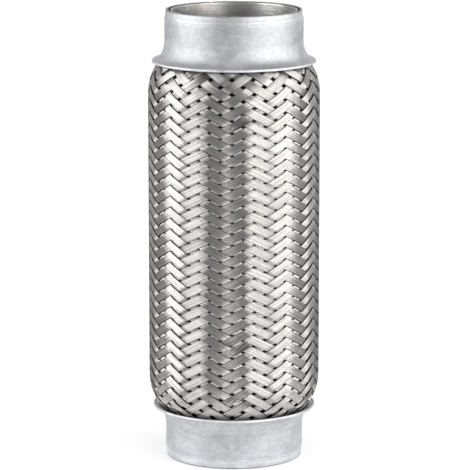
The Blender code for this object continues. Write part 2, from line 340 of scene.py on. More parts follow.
def round_axis(radius, angle, height):
    """Points round the pipe's axis: x = r*sin(a), y = -r*cos(a)."""
    flat = radius * np.sin(angle), -radius * np.cos(angle)
    return np.stack(np.broadcast_arrays(*flat, height), axis=-1)


def tail_radius(size):
    """Outside of the braid's crimped end: the neck's inside less its seat."""
    return size.neck_radius - size.cap_wall - SEAT


def throat(size):
    """Distance from an end at which the braid leaves the neck."""
    return size.neck_length + size.flare_height / 2


def braid_outline(height, size):
    """The braid's outer radius: the tail's in the neck, a cubic out to the mouth at the lip's
    edge, a cubic from there to the body, and less by the rim's taper near each end."""
    depth = np.minimum(height, size.length - height)
    mouth = size.lip_radius - size.cap_wall - MOUTH_GAP
    low = throat(size)
    reach = size.cap_height - low
    inside = np.clip((depth - low) / reach, 0, 1)
    beyond = np.clip((depth - size.cap_height) / SHOULDER, 0, 1)
    body = size.braid_radius - SKIN
    in_cap = blend_curve(inside, tail_radius(size), mouth, 0, MOUTH_SLOPE * reach)
    outside = blend_curve(beyond, mouth, body, MOUTH_SLOPE * SHOULDER, 0)
    taper = size.rim_taper * np.clip(1 - depth / size.taper_height, 0, 1)
    return np.where(depth < size.cap_height, in_cap, outside) - taper


def lattice_steps(height, size):
    """Half the width and half the height of one diamond of the weave, along the surface: the
    diamond's side stays the same, so its height grows where the circumference shrinks. A small
    bell-shaped growth below the upper cap sets the rows there a little further apart."""
    side = math.pi * size.braid_radius / (COLUMNS / 2) / math.sin(BODY_RIBBON_ANGLE)
    middle = size.length / 2
    off = np.clip((height - middle) / (middle - size.cap_height), -1, 1)
    near = off**4
    upper = UPPER_GROWTH * np.exp(-(((off - UPPER_PLACE) / UPPER_REACH) ** 2))
    side = side * (1 + ROW_GROWTH * near - ROW_DRIFT * off * (1 - near) + upper)
    across = math.pi * braid_outline(height, size) / (COLUMNS / 2)
    return across, np.sqrt(side**2 - across**2)


def weave_rows(size):
    """Row numbers and heights of the weave's rows, out to both ends of the pipe: each row lies
    one step from the last, less where the braid's outline leans."""
    heights = {0: size.length / 2 + WEAVE_LIFT}
    nudge = 1e-5
    for way in (1, -1):
        number = 0
        while 0 < heights[number] < size.length:
            here = np.array([heights[number], heights[number] + way * nudge])
            radii = braid_outline(here, size)
            slope = (radii[1] - radii[0]) / nudge
            step = lattice_steps(here[:1], size)[1][0] / math.hypot(1.0, slope)
            heights[number + way] = heights[number] + way * step
            number += way
    numbers = np.array(sorted(heights))
    return numbers, np.array([heights[number] for number in numbers])


def row_height(row, numbers, heights):
    """Height at a row, or between two rows by a cubic through their heights."""
    slopes = np.gradient(heights)
    place = np.clip(row - numbers[0], 0, len(numbers) - 1.001)
    below = place.astype(int)
    return blend_curve(
        place - below, heights[below], heights[below + 1], slopes[below], slopes[below + 1]
    )


# Meshes

def strip_faces(rows, columns, close_rows=False, close_columns=False):
    """Quads of a grid of points, counter-clockwise where the rows run up and the columns to the
    right. A closed direction joins its last line of points to its first."""
    i = np.arange(rows if close_rows else rows - 1)
    j = np.arange(columns if close_columns else columns - 1)
    low, left = np.meshgrid(i, j, indexing="ij")
    high, right = (low + 1) % rows, (left + 1) % columns
    corners = [(low, left), (low, right), (high, right), (high, left)]
    return np.stack([a * columns + b for a, b in corners], axis=-1).reshape(-1, 4)


def make_mesh(name, points, quads, ends=None, uv=None, values=None, sharp_points=None):
    """A smooth mesh from whole arrays: quads, then end faces with as many corners as the second
    direction of their array. Values are attributes of the points, and an edge between two sharp
    points is sharp."""
    mesh = bpy.data.meshes.new(name)
    loops = quads.ravel()
    starts = np.arange(len(quads)) * 4
    if ends is not None:
        starts = np.concatenate([starts, quads.size + np.arange(len(ends)) * ends.shape[1]])
        loops = np.concatenate([loops, ends.ravel()])
    mesh.vertices.add(len(points))
    mesh.vertices.foreach_set("co", points.astype(np.float32).ravel())
    mesh.loops.add(len(loops))
    mesh.loops.foreach_set("vertex_index", loops.astype(np.int32))
    mesh.polygons.add(len(starts))
    mesh.polygons.foreach_set("loop_start", starts.astype(np.int32))
    mesh.update(calc_edges=True)
    mesh.shade_smooth()
    if uv is not None:
        layer = mesh.uv_layers.new(name="surface")
        layer.data.foreach_set("uv", uv[loops].astype(np.float32).ravel())
    for label, numbers in (values or {}).items():
        attribute = mesh.attributes.new(label, "FLOAT", "POINT")
        attribute.data.foreach_set("value", numbers.astype(np.float32).ravel())
    if sharp_points is not None:
        pairs = np.empty(len(mesh.edges) * 2, np.int32)
        mesh.edges.foreach_get("vertices", pairs)
        pairs = pairs.reshape(-1, 2)
        both = sharp_points[pairs[:, 0]] & sharp_points[pairs[:, 1]]
        attribute = mesh.attributes.new("sharp_edge", "BOOLEAN", "EDGE")
        attribute.data.foreach_set("value", both)
    return mesh


def add_piece(name, mesh, metal, node):
    """Puts a piece of the pipe in the scene in place of its CAD node."""
    mesh.materials.append(metal)
    piece = bpy.data.objects.new(name, mesh)
    bpy.context.scene.collection.objects.link(piece)
    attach(piece, "root")
    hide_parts(node)


def add_turned(name, radii, heights, metal, node, slot):
    """A closed section turned about the axis: x = r*sin(a), y = -r*cos(a). Radii and heights have
    a row for each point of the section, up its outer side and down its inner one, and a column
    for each angle."""
    points = round_axis(radii, around(radii.shape[1]), heights)
    mesh = make_mesh(name, points.reshape(-1, 3), strip_faces(*radii.shape, True, True))
    add_piece(name, mesh, metal, node)


def other_end(radii, heights, size):
    """The same turned surface at the upper end: heights counted from the top, section reversed."""
    return radii[::-1], size.length - heights[::-1]


# Materials

def add_node(tree, kind, values=None, **settings):
    """Adds a node, sets it up, and gives its inputs numbers or links."""
    node = tree.nodes.new(kind)
    for label, value in settings.items():
        setattr(node, label, value)
    for label, value in (values or {}).items():
        if isinstance(value, bpy.types.NodeSocket):
            tree.links.new(value, node.inputs[label])
        else:
            node.inputs[label].default_value = value
    return node


def object_place(tree):
    """Object coordinates, in metres."""
    return add_node(tree, "ShaderNodeTexCoord").outputs["Object"]


def scaled(tree, place, scale, location=(0, 0, 0)):
    """A place moved and then scaled."""
    values = {"Vector": place, "Location": location, "Scale": scale}
    return add_node(tree, "ShaderNodeMapping", values).outputs["Vector"]


def noise(tree, scale, detail=2.0, roughness=0.5, location=(0, 0, 0), place=None):
    """Soft noise, about 0.3 to 0.7, over Object coordinates or another place."""
    if place is None:
        place = object_place(tree)
    place = scaled(tree, place, scale, location)
    values = {"Vector": place, "Scale": 1.0, "Detail": detail, "Roughness": roughness}
    return add_node(tree, "ShaderNodeTexNoise", values).outputs["Fac"]


def spread(tree, value, low, high, new_low=0.0, new_high=1.0):
    """Carries the values from low to high over to new ones."""
    values = {
        "Value": value, "From Min": low, "From Max": high, "To Min": new_low, "To Max": new_high,
    }
    return add_node(tree, "ShaderNodeMapRange", values).outputs["Result"]


def vary(tree, value, low=0.0, high=1.0):
    """Carries soft noise, which is about 0.3 to 0.7, over to a range of its own."""
    return spread(tree, value, 0.3, 0.7, low, high)


def arithmetic(tree, operation, first, second=0.0):
    """One sum of two numbers or links."""
    return add_node(tree, "ShaderNodeMath", {0: first, 1: second}, operation=operation).outputs[0]


def product(tree, *factors):
    """Numbers or links multiplied one after another."""
    total = factors[0]
    for factor in factors[1:]:
        total = arithmetic(tree, "MULTIPLY", total, factor)
    return total


def gap_from(tree, value, mark):
    """How far a value lies from a mark."""
    return arithmetic(tree, "ABSOLUTE", arithmetic(tree, "SUBTRACT", value, mark))


def height_and_depth(tree, size):
    """Height above the floor, and distance from the nearer end of the pipe."""
    place = {"Vector": object_place(tree)}
    height = add_node(tree, "ShaderNodeSeparateXYZ", place).outputs["Z"]
    middle = size.length / 2
    return height, arithmetic(tree, "SUBTRACT", middle, gap_from(tree, height, middle))


def mix_colours(tree, factor, first, second, way="MIX"):
    """Mixes two colours by a factor."""
    values = {0: factor, 6: first, 7: second}
    node = add_node(tree, "ShaderNodeMix", values, data_type="RGBA", blend_type=way)
    return node.outputs[2]


def toned(tree, colour, light):
    """A colour made darker or lighter by a link."""
    grey = add_node(tree, "ShaderNodeCombineColor", {0: light, 1: light, 2: light}).outputs[0]
    return mix_colours(tree, 1.0, colour, grey, "MULTIPLY")


def shade(colour, strength=1.0):
    """A colour made darker or lighter, as four numbers."""
    return tuple(min(1.0, part * strength) for part in colour) + (1.0,)


def new_metal(name, roughness):
    """A metal to be finished: its material, node tree and shader."""
    metal = bpy.data.materials.new(name)
    metal.use_nodes = True
    shader = metal.node_tree.nodes["Principled BSDF"]
    shader.inputs["Metallic"].default_value = 1.0
    shader.inputs["Roughness"].default_value = roughness
    return metal, metal.node_tree, shader


def finish_metal(tree, shader, colour, roughness, relief=None, strength=0.0, depth=0.0):
    """Links a metal's colour, its roughness, and fine relief that the mesh is too coarse for."""
    tree.links.new(colour, shader.inputs["Base Color"])
    tree.links.new(roughness, shader.inputs["Roughness"])
    if relief is not None:
        values = {"Height": relief, "Strength": strength, "Distance": depth}
        bump = add_node(tree, "ShaderNodeBump", values)
        tree.links.new(bump.outputs["Normal"], shader.inputs["Normal"])


def braid_wire_steel(finish):
    """Bright drawn wire: each wire has its own tone, with draw marks along it and painted shade in
    the grooves, along the ribbons' edges and underneath."""
    base = finish.wire_roughness
    metal, tree, shader = new_metal("braid wire steel", base)
    tone = add_node(tree, "ShaderNodeAttribute", attribute_name="tone").outputs["Fac"]
    groove = add_node(tree, "ShaderNodeAttribute", attribute_name="groove").outputs["Fac"]
    wire_map = add_node(tree, "ShaderNodeUVMap", uv_map="surface").outputs["UV"]
    marks = noise(tree, (2400, 26, 1), 1.0, place=wire_map)
    patches = noise(tree, (190, 190, 260), 3.0)
    light = product(
        tree,
        vary(tree, marks, 0.82, 1.10),
        tone,
        vary(tree, patches, 0.95, 1.05),
        # Painted shade from the groove values: in the grooves, at the ribbons' edges and
        # underneath
        spread(tree, groove, 0.0, 1.0, 1.0, 0.10),
    )
    colour = toned(tree, shade(finish.wire_colour), light)
    rough = vary(tree, marks, base - 0.02, base + 0.06)
    finish_metal(tree, shader, colour, rough, marks, 0.9, 0.00008)
    return metal


def pressed_cap_steel(finish, size):
    """Satin pressed sheet: fine marks round the neck, mottling, smudges, a few scratches and
    specks, painted shade along the cut edge of each rim, a painted highlight on the drawn-in band
    next to it, stronger on the lower cap, painted shade inside the necks, a painted highlight
    along the lips' edges, and a broken scuff round the lower cap below its flare."""
    base = finish.cap_roughness
    metal, tree, shader = new_metal("pressed cap steel", base)
    height, depth = height_and_depth(tree, size)
    marks = noise(tree, (22, 22, 2400), 3.0, 0.6)
    fine = noise(tree, (90, 90, 7000))
    smudges = noise(tree, (130, 130, 160), 4.0, 0.6)
    scratches = noise(tree, (60, 60, 3300), 1.0, location=(0.3, 0, 0))
    specks = noise(tree, (900, 900, 1100), 1.0)
    mottle = noise(tree, (420, 420, 520), 3.0, 0.6)
    dashes = noise(tree, (160, 160, 40), 2.0, 0.7, (0.5, 0, 0))
    from_scuff = gap_from(tree, height, SCUFF_HEIGHT)
    scuff = product(
        tree, spread(tree, from_scuff, 0.0, 0.0003, 1.0, 0.0), spread(tree, dashes, 0.46, 0.56)
    )
    level = scaled(tree, object_place(tree), (1, 1, 0))
    length = add_node(tree, "ShaderNodeVectorMath", {0: level}, operation="LENGTH")
    inside = size.neck_radius - size.cap_wall
    # Painted shade on the inside of each neck, kept off the rim
    painted_shade = arithmetic(
        tree,
        "MAXIMUM",
        spread(tree, length.outputs["Value"], inside + 0.00005, inside + 0.00025, 0.26, 1.0),
        spread(tree, depth, 0.0002, 0.0006, 1.0, 0.0),
    )
    lip, band = size.cap_height, size.taper_height
    light = product(
        tree,
        vary(tree, marks, 0.93, 1.04),
        vary(tree, mottle, 0.90, 1.07),
        # Painted shade along each rim's cut edge
        spread(tree, depth, 0.0002, 0.0006, 0.52, 1.0),
        spread(tree, scuff, 0.0, 1.0, 1.0, 0.72),
        vary(tree, fine, 0.97, 1.03),
        # Painted highlight along the lips' edges
        spread(tree, depth, lip - 0.0011, lip - 0.0007, 1.0, 1.4),
        painted_shade,
        vary(tree, smudges, 0.86, 1.10),
        # Painted highlight on the drawn-in band by each rim, stronger on the lower cap
        spread(tree, depth, band - 0.0004, band + 0.0001, 1.08, 1.0),
        spread(tree, height, band - 0.0004, band + 0.0001, 1.07, 1.0),
        spread(tree, scratches, 0.66, 0.74, 1.0, 0.84),
        spread(tree, specks, 0.72, 0.77, 1.0, 0.65),
    )
    rough = vary(tree, smudges, base - 0.05, base + 0.07)
    rough = arithmetic(tree, "ADD", rough, vary(tree, marks, -0.04, 0.04))
    relief = arithmetic(tree, "ADD", marks, product(tree, fine, 0.4))
    colour = toned(tree, shade(finish.cap_colour), light)
    finish_metal(tree, shader, colour, rough, relief, 0.35, 0.00005)
    return metal


def inner_ring_steel(finish, size):
    """Smoother tube steel with brown heat and oil stains in patches, painted shade along its cut
    edges, and painted light that makes it brighter at its mouths and darker deeper in the bore."""
    base = finish.ring_roughness
    metal, tree, shader = new_metal("inner ring steel", base)
    depth = height_and_depth(tree, size)[1]
    marks = noise(tree, (25, 25, 4500))
    fine = noise(tree, (40, 40, 9000))
    cloud = noise(tree, (60, 60, 90), 4.0, 0.6, (0.11, 0.05, 0.0))
    steel = finish.ring_colour
    clean = mix_colours(tree, vary(tree, marks), shade(steel, 0.93), shade(steel, 1.05))
    stained = mix_colours(tree, 0.6, clean, shade(finish.stain_colour))
    colour = mix_colours(tree, spread(tree, cloud, 0.50, 0.66, 0.0, 0.9), clean, stained)
    edge = size.ring_recess
    light = product(
        tree,
        # Painted shade along the ring's cut edge
        spread(tree, depth, edge + 0.0001, edge + 0.0005, 0.46, 1.0),
        # Painted light: brighter at the mouth, darker deeper in the bore
        spread(tree, depth, edge + 0.0005, edge + 0.0060, 1.24, 0.86),
    )
    rough = vary(tree, cloud, base - 0.05, base + 0.15)
    finish_metal(tree, shader, toned(tree, colour, light), rough, fine, 0.9, 0.000045)
    return metal


def bellows_steel(finish):
    """Rolled sheet with fine marks round it, in a colour darkened as painted shade under the
    braid.
    """
    metal, tree, shader = new_metal("bellows steel", 0.34)
    marks = noise(tree, (30, 30, 1200), 3.0)
    sheet = finish.shaded_bellows_colour
    colour = mix_colours(tree, vary(tree, marks), shade(sheet, 0.82), shade(sheet, 1.05))
    finish_metal(tree, shader, colour, vary(tree, marks, 0.28, 0.42))
    return metal


# Pieces

def looseness(angle, height, size, rising):
    """How loose the wires are along each ribbon's middle: a bell round each loose place,
    exp(-(distance round the pipe / reach)^2 - (distance along it / height)^2)."""
    total = np.zeros_like(angle)
    for family, place, level in LOOSE_PLACES:
        if family == rising:
            away = (angle - math.radians(place) + math.pi) % (2 * math.pi) - math.pi
            total += np.exp(
                -((away * size.braid_radius / LOOSE_REACH) ** 2)
                - ((height - level) / LOOSE_HEIGHT) ** 2
            )
    return total


def ribbon_tape(size, weave, rising, centres, rng):
    """Points, map and values of ribbons that all rise or all fall to the right.

    The values are each point's tone and its painted shade, from 0 to 1. A ribbon's middle runs
    over the lattice at column c + row (rising) or c - row (falling). A point this far across it,
    d, lies half a step of d further in columns and half a step down (rising) or up (falling) in
    rows, so that folds follow the ribbons it crosses. Its radius is the braid's outline less
    climb*(1 - lean*wave), where lean is 1 (rising) or -1 (falling) and the weave's wave is
    tanh(snap*(cos(quarter turns of the column) + lean*bias)) / tanh(snap). The groove between
    wires, crown*(share of half the width)^8, smooth noise, and a drop where wires have come
    loose go off it, and painted shade darkens the tone at that drop. The underside lies one
    thickness below the middle. The width grows by a power, the splay, of how far the ribbons
    have drawn apart."""
    numbers, heights = weave_rows(size)
    ends = np.interp([TAIL_RECESS, size.length - TAIL_RECESS], heights, numbers)
    steps = int(round((ends[1] - ends[0]) * STEPS_PER_ROW))
    rows = np.linspace(ends[0], ends[1], steps + 1)
    middle = row_height(rows, numbers, heights)
    across, along = lattice_steps(middle, size)
    pitch = 2 * across * along / np.hypot(across, along)
    lean = 1 if rising else -1
    profile = np.linspace(-1, 1, 2 * weave.wires + 1)
    top = len(profile)
    depth = np.ones(top + 2)
    depth[1:top:2] = 0
    # Painted shade: strong in the grooves, lighter on the two outer wires, full at the edges and
    # underside
    painted_shade = np.where(depth > 0, GROOVE_SHADE, 0)
    painted_shade[[0, top - 1, top, top + 1]] = 1
    painted_shade[[1, top - 2]] = EDGE_SHADE
    reach = np.concatenate([profile, [UNDER_REACH, -UNDER_REACH]])
    fall = weave.crown * profile**CROWN_POWER + weave.wire_groove * depth[:top]
    fall = np.concatenate([fall, [0, 0]])
    under = np.concatenate([np.zeros(top), [1, 1]])
    travel = rows * COLUMN_TURN
    stray = np.stack([soft_noise(travel * 3, rng, 7, 9) for _ in centres])
    width = np.stack([1 + WIDTH_CHANGE * soft_noise(travel * 3, rng, 6, 9) for _ in centres])
    lift = np.stack([soft_noise(travel * 3, rng, 7, 12) for _ in centres])
    splay = weave.splay * middle / size.length
    half = width * weave.ribbon_width / pitch * (pitch / pitch.min()) ** splay
    offset = half[:, :, None] * reach + (stray * weave.wander * 2 / pitch)[:, :, None]
    column = (centres[:, None] + lean * rows)[:, :, None]
    tail = tail_radius(size)
    swell = (braid_outline(middle, size) - tail) / (size.braid_radius - tail)
    swell = np.clip(SWELL_GAIN * swell, 0, 1)
    climb = weave.tail_climb + (weave.climb - weave.tail_climb) * swell
    wall = weave.tail_wall + (weave.ribbon_wall - weave.tail_wall) * swell
    beat = np.cos(math.pi / 2 * (column - 0.5)) + lean * OVER_BIAS
    wave = np.tanh(weave.snap * beat) / math.tanh(weave.snap)
    point_row = rows[None, :, None] - lean * offset / 2
    point_row = np.clip(point_row, ends[0], ends[1])
    height = row_height(point_row, numbers, heights)
    fullness = (CRIMPED_RELIEF + (1 - CRIMPED_RELIEF) * swell)[None, :, None]
    radius = braid_outline(height, size) - climb[None, :, None] * (1 - lean * wave)
    radius = radius - fullness * fall - under * wall[None, :, None]
    radius = radius - (0.5 + 0.5 * lift[:, :, None]) * LIFT_CHANGE * fullness
    angle = WEAVE_TURN + (column + offset / 2) * COLUMN_TURN
    loose = looseness(WEAVE_TURN + column[:, :, 0] * COLUMN_TURN, middle, size, rising)
    fallen = np.clip(loose, 0, 1)[:, :, None]
    radius = radius - weave.loose_drop * fallen
    length = np.concatenate([[0], np.cumsum(np.hypot(across, along)[1:] * np.diff(rows))])
    breadth = reach * weave.ribbon_width / 2 + centres[:, None, None] * RIBBON_MAP_GAP
    uv = np.stack(np.broadcast_arrays(breadth, length[None, :, None]), axis=-1)
    ribbon_tone = rng.uniform(*RIBBON_TONES, len(centres))
    wire_tone = rng.uniform(*WIRE_TONES, (len(centres), top + 2))
    # Painted shade where the ribbon drops under its loose wires
    tone = (ribbon_tone[:, None] * wire_tone)[:, None, :] * (1 - LOOSE_SHADE * fallen)
    from_end = np.minimum(middle, size.length - middle)
    tone = tone * np.interp(from_end, END_HEIGHTS, END_LEVELS)[None, :, None]
    tone = tone * np.interp(middle, TONE_HEIGHTS, TONE_LEVELS)[None, :, None]
    return round_axis(radius, angle, height), uv, tone, np.broadcast_to(painted_shade, radius.shape)


def loose_wires(size, weave, rng):
    """Points, map and values of the single wires that have come loose, as round tubes.

    Over a float whose middle is at a column, a wire runs from way -1 to 1 at column + span*way,
    and crosses the ribbon by the offset less tilt*way, so that it stands steeper than the ribbon.
    Its middle lies at the braid's outline less its own radius, less dive*way^4 where it goes
    down between its neighbours."""
    numbers, heights = weave_rows(size)
    way = np.linspace(-1, 1, LOOSE_POINTS)
    turn = around(LOOSE_SIDES)
    thick = weave.loose_wire / 2
    tubes = []
    for rising, place, level in LOOSE_PLACES:
        lean = 1 if rising else -1
        row = np.interp(level, heights, numbers)
        centre = (math.radians(place) - WEAVE_TURN) / COLUMN_TURN
        for offset in LOOSE_OFFSETS:
            tilt = rng.uniform(*LOOSE_TILTS)
            across = offset - tilt * way + rng.uniform(-LOOSE_STRAY, LOOSE_STRAY)
            column = centre + LOOSE_SPAN * way + across / 2
            height = row_height(row + lean * (LOOSE_SPAN * way - across / 2), numbers, heights)
            radius = braid_outline(height, size) - thick - LOOSE_DIVE * way**4
            angle = WEAVE_TURN + column * COLUMN_TURN
            middle = round_axis(radius, angle, height)
            along = unit(np.gradient(middle, axis=0))
            side = unit(np.cross(round_axis(1, angle, 0), along))
            out = np.cross(along, side)
            ring = np.cos(turn)[:, None] * side[:, None] + np.sin(turn)[:, None] * out[:, None]
            tubes.append(middle[:, None] + thick * ring)
    breadth = np.arange(len(tubes))[:, None, None] * WIRE_MAP_GAP + turn * thick
    length = way[:, None] * size.braid_radius * LOOSE_SPAN * COLUMN_TURN
    uv = np.stack(np.broadcast_arrays(breadth, length), axis=-1)
    shape = uv.shape[:3]
    return np.stack(tubes), uv, np.full(shape, LOOSE_TONE), np.zeros(shape)


def add_ribbons(name, points, uv, tone, groove, metal):
    """One piece of several ribbons or wires: each is a closed loop of points carried along, with
    an end face at each end. The edges along a ribbon's grooves and its underside are creased."""
    ribbons, steps, loop = tone.shape
    one = strip_faces(steps, loop, close_columns=True)
    starts = np.arange(ribbons) * steps * loop
    quads = (starts[:, None, None] + one).reshape(-1, 4)
    first = starts[:, None] + np.arange(loop)[::-1]
    last = starts[:, None] + (steps - 1) * loop + np.arange(loop)
    mesh = make_mesh(
        name, points.reshape(-1, 3), quads, np.concatenate((first, last)), uv.reshape(-1, 2),
        {"tone": tone, "groove": groove}, groove.ravel() >= GROOVE_SHADE,
    )
    add_piece(name, mesh, metal, "outer_braid")


def cap_section(size):
    """The lower cap's section, up the outside and down the inside: a rounded rim, a rolled step,
    the neck, a quarter ellipse out to the lip, the bend, the skirt with a round edge, and the
    same inside, one sheet thickness in."""
    wall, band = size.cap_wall, size.taper_height
    rim = size.neck_radius - size.rim_taper
    edge, round_edge = 0.00015, wall / 2
    # Shares of the taper and of the band's height
    steps = np.array([
        (0.0, 0.10), (0.12, 0.34), (0.24, 0.38), (0.10, 0.42), (0.20, 0.48), (0.36, 0.52),
        (0.20, 0.56), (0.50, 0.72), (0.86, 0.88), (1.0, 0.97), (0.86, 1.0), (1.0, 1.03),
        (1.0, 1.25),
    ])
    reach = size.lip_radius - size.neck_radius - size.lip_bend
    turn = np.radians(np.linspace(0, 87, 20))
    flare = np.column_stack((
        size.neck_radius + reach * (1 - np.cos(turn)),
        size.neck_length + size.flare_height * np.sin(turn),
    ))
    square = unit(np.column_stack((-size.flare_height * np.cos(turn), reach * np.sin(turn))))
    bend = (size.lip_radius - size.lip_bend, size.neck_length + size.flare_height + size.lip_bend)
    skirt = (size.lip_radius - round_edge, size.cap_height - round_edge)
    return np.concatenate([
        corner_arc((rim - edge, edge), edge, -90, 0, 4),
        (rim, 0) + steps * (size.rim_taper, band),
        upright_line(size.neck_radius, band * 1.5, size.neck_length * 0.97, 6),
        flare,
        corner_arc(bend, size.lip_bend, -86, 0, 9),
        corner_arc(skirt, round_edge, 8, 176, 11),
        (flare + square * wall)[::-2],
        upright_line(size.neck_radius - wall, size.neck_length * 0.9, band * 1.1, 3),
        corner_arc((rim - wall + edge, edge), edge, 180, 270, 3),
    ])


def worn_cap(size, seed, nicks):
    """Radii and heights of a cap: its section at each angle, with the rim's cut edge wandering
    by smooth noise that fades over the drawn-in band, the neck a little out of round, and a
    small bell-shaped nick at each given angle, of this width in degrees and this depth."""
    rng = np.random.default_rng(seed)
    angle, radii, heights = turned(cap_section(size), CAP_ANGLES)
    near_rim = np.clip(1 - heights / size.taper_height, 0, 1)
    cut = size.rim_wave * (0.5 + 0.5 * soft_noise(angle, rng, 12, 14))
    for place, width, depth in nicks:
        away = (angle - math.radians(place) + math.pi) % (2 * math.pi) - math.pi
        cut = cut + depth * np.exp(-((away / math.radians(width)) ** 2))
    heights = heights + cut * near_rim
    round_error = OUT_OF_ROUND * soft_noise(angle, rng, 6, 5)
    dents = DENT * soft_noise(angle, rng, 14, 24)
    below_lip = np.clip((size.cap_height - heights) / OUT_OF_ROUND_FADE, 0, 1)
    radii = radii + round_error * below_lip + (dents - DENT) * near_rim
    return radii, heights


def ring_surface(size, seed):
    """Radii and heights of an inner ring: a thin tube with rounded edges, a little out of round
    at its mouth."""
    rng = np.random.default_rng(seed)
    inner, outer = size.bore_radius, size.ring_radius
    low, high = size.ring_recess, size.ring_depth
    edge = 0.0002
    section = np.concatenate([
        corner_arc((outer - edge, low + edge), edge, -90, 0, 4),
        upright_line(outer, low + 3 * edge, high - 3 * edge, 12),
        corner_arc((outer - edge, high - edge), edge, 0, 90, 3),
        corner_arc((inner + edge, high - edge), edge, 90, 180, 3),
        upright_line(inner, high - 3 * edge, low + 3 * edge, 12),
        corner_arc((inner + edge, low + edge), edge, 180, 270, 4),
    ])
    angle, radii, heights = turned(section, RING_ANGLES)
    near = np.clip(1 - (heights - low) / RING_FADE, 0, 1)
    radii = radii + near * RING_OUT_OF_ROUND * soft_noise(angle, rng, 8, 7)
    heights = heights + near * RING_CHIP * (0.5 + 0.5 * soft_noise(angle, rng, 10, 16))
    return radii, heights


def bellows_surface(size):
    """Radii and heights of the bellows: plain cuffs, and between them a rounded zigzag
    arcsin(s*sin)/arcsin(s), with sharpness s, between trough and crest, inside and out."""
    start = size.cap_height + CONVOLUTION_START
    trough = size.ring_radius + SEAT + CUFF_WALL
    crest = size.braid_radius - BRAID_DEPTH
    levels = np.linspace(start, size.length - start, CONVOLUTIONS * FOLD_STEPS + 1)
    turns = (levels - start) / (size.length - 2 * start) * CONVOLUTIONS
    wave = np.sin(2 * math.pi * (turns - 0.25))
    zigzag = np.arcsin(FOLD_SHARPNESS * wave) / math.asin(FOLD_SHARPNESS)
    outside = trough + (crest - trough) * (0.5 + 0.5 * zigzag)
    levels = np.concatenate([[CUFF_RECESS], levels, [size.length - CUFF_RECESS]])
    outside = np.concatenate([[trough], outside, [trough]])
    radii = np.concatenate([outside, outside[::-1] - CUFF_WALL])
    section = np.column_stack((radii, np.concatenate([levels, levels[::-1]])))
    return turned(section, BELLOWS_ANGLES)[1:]


class FLEXPIPE_OT_braid(bpy.types.Operator):
    """Weaves the braid: 24 ribbons that rise to the right, 24 that fall, and some loose wires"""

    bl_idname = "flexpipe.braid"
    bl_label = "Wire braid"

    def execute(self, context):
        scene = context.scene
        size, weave = scene.flexpipe_sizes, scene.flexpipe_weave
        rng = np.random.default_rng(weave.seed)
        metal = braid_wire_steel(scene.flexpipe_finish)
        for rising, name in ((True, "rising_ribbons"), (False, "falling_ribbons")):
            for part, label in enumerate("ab"):
                centres = np.arange(1, COLUMNS, 2)[part::2]
                tape = ribbon_tape(size, weave, rising, centres, rng)
                add_ribbons(f"{name}_{label}", *tape, metal)
        add_ribbons("loose_wires", *loose_wires(size, weave, rng), metal)
        return {"FINISHED"}


class FLEXPIPE_OT_caps(bpy.types.Operator):
    """Turns the two pressed end caps, with worn rims"""

    bl_idname = "flexpipe.caps"
    bl_label = "End caps"

    def execute(self, context):
        size = context.scene.flexpipe_sizes
        metal = pressed_cap_steel(context.scene.flexpipe_finish, size)
        lower_nicks = [(140, 2.5, 0.0002)]
        upper_nicks = [(-5, 1.6, 0.0003), (61, 3.0, 0.0003), (200, 2.5, 0.0002)]
        lower = worn_cap(size, 21, lower_nicks)
        add_turned("lower_cap", *lower, metal, "lower_end_cap", "end_caps")
        upper = other_end(*worn_cap(size, 22, upper_nicks), size)
        add_turned("upper_cap", *upper, metal, "upper_end_cap", "end_caps")
        return {"FINISHED"}


class FLEXPIPE_OT_rings(bpy.types.Operator):
    """Turns the two inner rings that line the necks"""

    bl_idname = "flexpipe.rings"
    bl_label = "Inner rings"

    def execute(self, context):
        size = context.scene.flexpipe_sizes
        metal = inner_ring_steel(context.scene.flexpipe_finish, size)
        lower = ring_surface(size, 31)
        add_turned("lower_ring", *lower, metal, "lower_inner_ring", "inner_rings")
        upper = other_end(*ring_surface(size, 32), size)
        add_turned("upper_ring", *upper, metal, "upper_inner_ring", "inner_rings")
        return {"FINISHED"}


class FLEXPIPE_OT_bellows(bpy.types.Operator):
    """Turns the folded bellows under the braid"""

    bl_idname = "flexpipe.bellows"
    bl_label = "Bellows"

    def execute(self, context):
        surface = bellows_surface(context.scene.flexpipe_sizes)
        metal = bellows_steel(context.scene.flexpipe_finish)
        add_turned("folded_bellows", *surface, metal, "bellows", "bellows")
        return {"FINISHED"}


def plain_surface(name, colour):
    """A dull painted surface for the stage."""
    paint = bpy.data.materials.new(name)
    paint.use_nodes = True
    shader = paint.node_tree.nodes["Principled BSDF"]
    shader.inputs["Base Color"].default_value = (*colour, 1.0)
    shader.inputs["Roughness"].default_value = 1.0
    shader.inputs["Specular IOR Level"].default_value = 0.0
    return paint


def sweep_floor():
    """A floor that curves up behind into a backdrop: flat, a quarter circle, then upright."""
    flat = np.column_stack((np.linspace(-5.0, 2.0, 15), np.full(15, FLOOR_LEVEL)))
    bend = corner_arc((2.0, 1.0), 1.0 - FLOOR_LEVEL, -90, 0, 24)
    line = np.concatenate([flat, bend[1:], upright_line(3.0, 1.2, 5.0, 5)])
    side = np.linspace(-5.0, 5.0, 11)
    points = np.stack(np.broadcast_arrays(side, line[:, :1], line[:, 1:]), axis=-1)
    return points.reshape(-1, 3), strip_faces(len(line), 11)


def upright_card(azimuths, distance, levels):
    """A flat card that stands across these azimuths, in degrees to the right of the camera's
    side, at this distance and between these heights."""
    turns = np.radians(azimuths)
    middle = turns.mean()
    half = distance * math.tan((turns[1] - turns[0]) / 2)
    centre = np.array((math.sin(middle), -math.cos(middle))) * distance
    right = np.array((math.cos(middle), math.sin(middle)))
    corners = [(-half, levels[0]), (half, levels[0]), (-half, levels[1]), (half, levels[1])]
    points = np.array([(*(centre + right * side), up) for side, up in corners])
    return points, strip_faces(2, 2)


